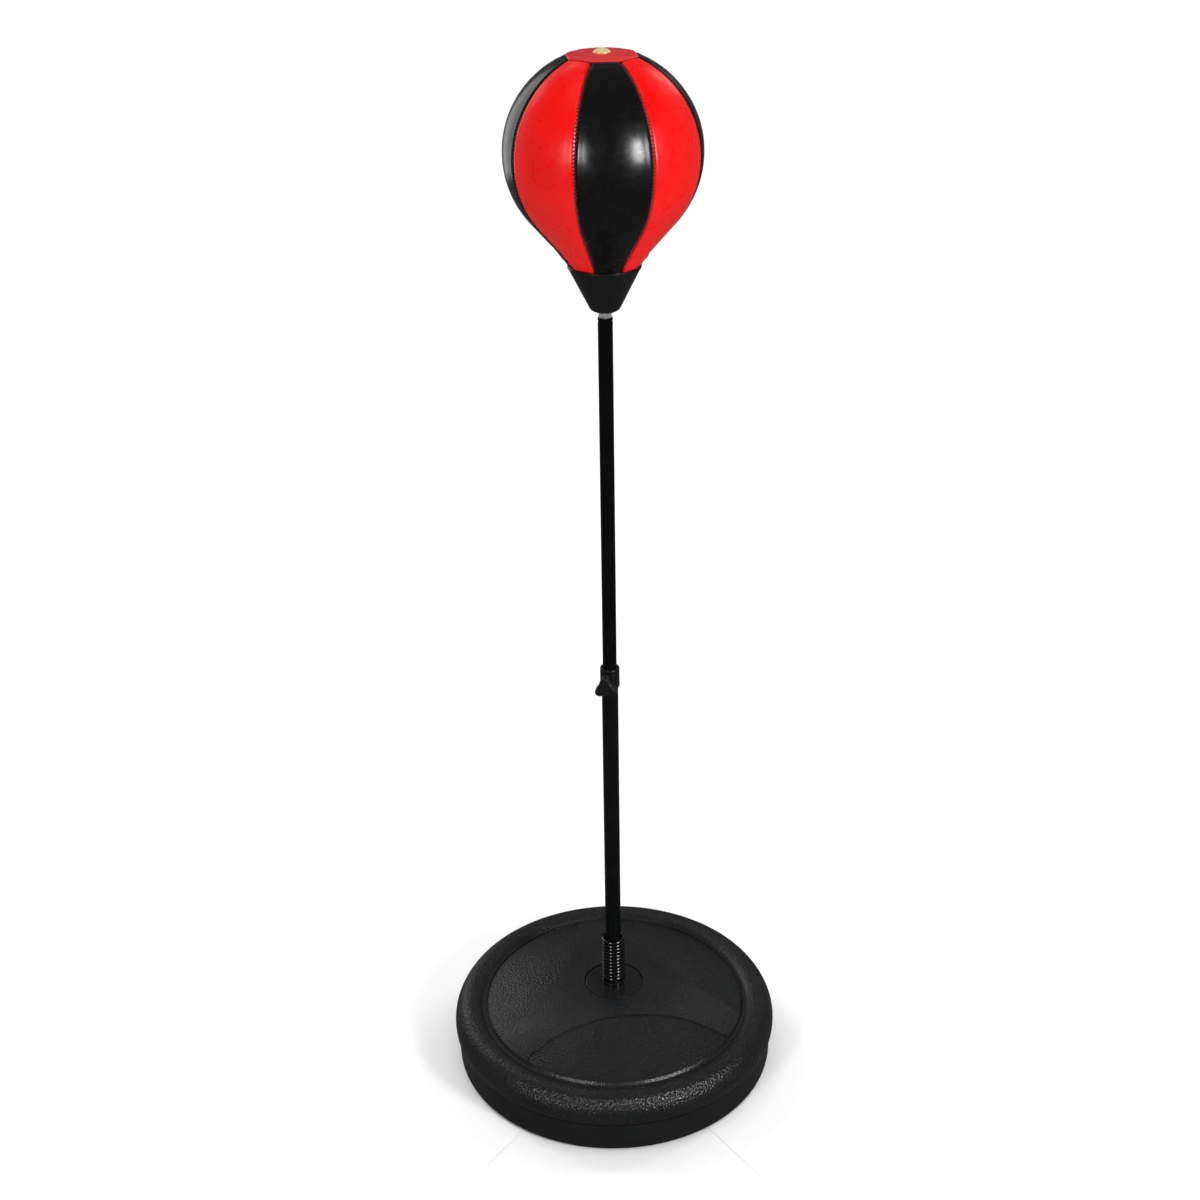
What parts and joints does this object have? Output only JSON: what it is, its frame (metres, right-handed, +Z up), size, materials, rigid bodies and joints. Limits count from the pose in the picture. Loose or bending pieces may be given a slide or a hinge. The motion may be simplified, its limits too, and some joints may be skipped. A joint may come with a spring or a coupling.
{
  "type": "free-standing punch ball",
  "caption": "Stitched inflatable ball in a cup on a telescopic pole with a clamp knob, standing on a coil spring over a round fillable base.",
  "frame": {"origin": "centre of the base's foot, on the floor", "axes": "+Z up along the pole; -Y is the front, where the clamp knob points; +X to the right"},
  "size_m": [0.4, 0.4, 1.2339],
  "materials": {
    "base_plastic": "grained black moulding",
    "cap_plastic": "smooth black",
    "seal_rubber": "matt",
    "seat_paint": "black gloss paint",
    "zinc_steel": "bright zinc plate",
    "spring_steel": "black paint",
    "tube_paint": "black semi-gloss paint",
    "nylon": "smooth",
    "clamp_plastic": "satin black",
    "screw_steel": "bright zinc plate",
    "pad_nylon": "smooth",
    "cup_plastic": "satin black",
    "bladder_rubber": "matt",
    "black_hide": "glossy coated fabric",
    "red_hide": "glossy coated fabric",
    "patch_hide": "glossy coated fabric",
    "eyelet_brass": "polished",
    "valve_rubber": "matt"
  },
  "bodies": {
    "base": {"base_top_shell": "base_plastic", "base_bottom_pan": "base_plastic"},
    "cap_seal": {"fill_cap_seal": "seal_rubber"},
    "cap": {"fill_cap": "cap_plastic", "spring_seat": "seat_paint", "spring_seat_washer": "zinc_steel", "spring_seat_nut": "zinc_steel"},
    "spring_middle": {"spring": "spring_steel"},
    "lower_pole": {"lower_tube": "tube_paint", "lower_tube_plug": "nylon", "clamp_collar": "clamp_plastic", "clamp_nut": "zinc_steel"},
    "guide": {"upper_tube_bush": "nylon"},
    "upper_pole": {"upper_tube": "tube_paint", "upper_tube_insert": "nylon", "lock_nut": "zinc_steel", "ball_cup": "cup_plastic", "cup_washer": "zinc_steel", "anchor_plate": "zinc_steel", "head_bolt": "zinc_steel", "bladder": "bladder_rubber", "panel_black_1": "black_hide", "panel_red_1": "red_hide", "panel_black_2": "black_hide", "panel_red_2": "red_hide", "panel_black_3": "black_hide", "panel_red_3": "red_hide", "panel_black_4": "black_hide", "panel_red_4": "red_hide", "top_patch": "patch_hide", "valve_eyelet": "eyelet_brass", "valve_stem": "valve_rubber"},
    "clamp_tip": {"clamp_pad": "pad_nylon"},
    "clamp_handle": {"clamp_screw": "screw_steel", "clamp_knob": "clamp_plastic"}
  },
  "joints": [
    {"name": "cap_lift", "type": "slide", "parent": "base", "child": "cap_seal", "axis": [0, 0, 1], "range_m": [0, 0.0151]},
    {"name": "cap_turn", "type": "hinge", "parent": "cap_seal", "child": "cap", "pos_m": [0, 0, 0.09], "axis": [0, 0, 1], "range_deg": [0, 900]},
    {"name": "spring_bend_x", "type": "hinge", "parent": "cap", "child": "spring_middle", "pos_m": [0, 0, 0.1355], "axis": [1, 0, 0], "range_deg": [-45, 45], "stiffness_Nm_per_rad": 25, "deforming": ["spring"]},
    {"name": "spring_bend_y", "type": "hinge", "parent": "spring_middle", "child": "lower_pole", "pos_m": [0, 0, 0.1355], "axis": [0, 1, 0], "range_deg": [-45, 45], "stiffness_Nm_per_rad": 25, "deforming": ["spring"]},
    {"name": "pole_height", "type": "slide", "parent": "lower_pole", "child": "guide", "axis": [0, 0, 1], "range_m": [-0.25, 0.05]},
    {"name": "pole_spin", "type": "hinge", "parent": "guide", "child": "upper_pole", "pos_m": [0, 0, 0.5], "axis": [0, 0, 1], "range_deg": [-180, 180]},
    {"name": "clamp_travel", "type": "slide", "parent": "lower_pole", "child": "clamp_tip", "axis": [-0.1874, -0.9823, 0], "range_m": [0, 0.00205]},
    {"name": "clamp_turn", "type": "hinge", "parent": "clamp_tip", "child": "clamp_handle", "pos_m": [-0.00468, -0.02456, 0.532], "axis": [-0.1874, -0.9823, 0], "range_deg": [0, 720]}
  ],
  "couplings": [
    {"joint": "cap_lift", "follows": "cap_turn", "m_per_rad": 0.00095493},
    {"joint": "clamp_travel", "follows": "clamp_turn", "m_per_rad": 0.00015915}
  ]
}
